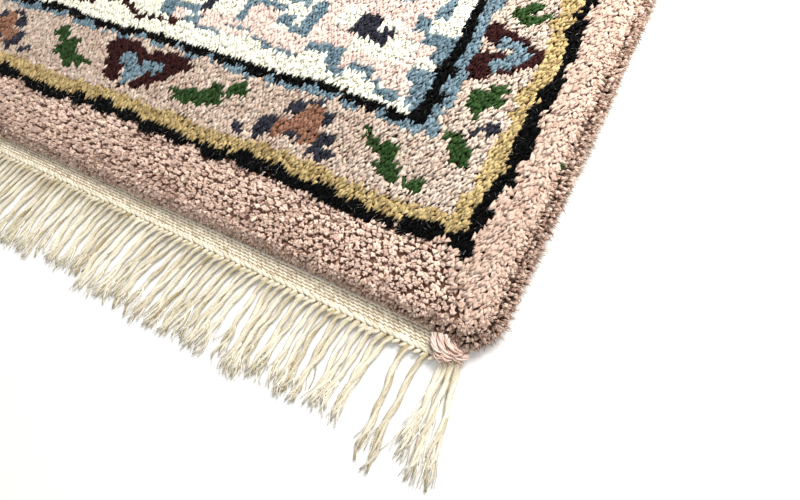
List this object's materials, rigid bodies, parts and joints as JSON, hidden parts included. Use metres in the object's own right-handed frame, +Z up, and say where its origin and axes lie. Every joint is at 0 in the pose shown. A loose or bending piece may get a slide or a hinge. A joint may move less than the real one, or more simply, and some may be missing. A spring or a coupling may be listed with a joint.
{
  "type": "oriental rug",
  "caption": "Small hand-knotted oriental rug lying flat, wool pile with guard stripes, a flower border and a light field, flat-woven kelim ends and a knotted warp fringe.",
  "frame": {"origin": "middle of the underside, on the floor", "axes": "+X across the rug, +Y along it away from the end that is seen, +Z up out of the pile"},
  "size_m": [0.678, 1.2038, 0.0115],
  "materials": {
    "pile_wool": "cut wool pile, matt",
    "warp_cotton": "undyed cotton yarn, matt",
    "overcast_wool": "soft wool yarn, matt"
  },
  "bodies": {
    "root": {"rug_pile": "pile_wool", "kelim_fringe_front": "warp_cotton", "kelim_fringe_back": "warp_cotton", "selvedge_tuft_front_a": "overcast_wool", "selvedge_tuft_front_b": "overcast_wool", "selvedge_tuft_back_a": "overcast_wool", "selvedge_tuft_back_b": "overcast_wool"}
  },
  "joints": []
}
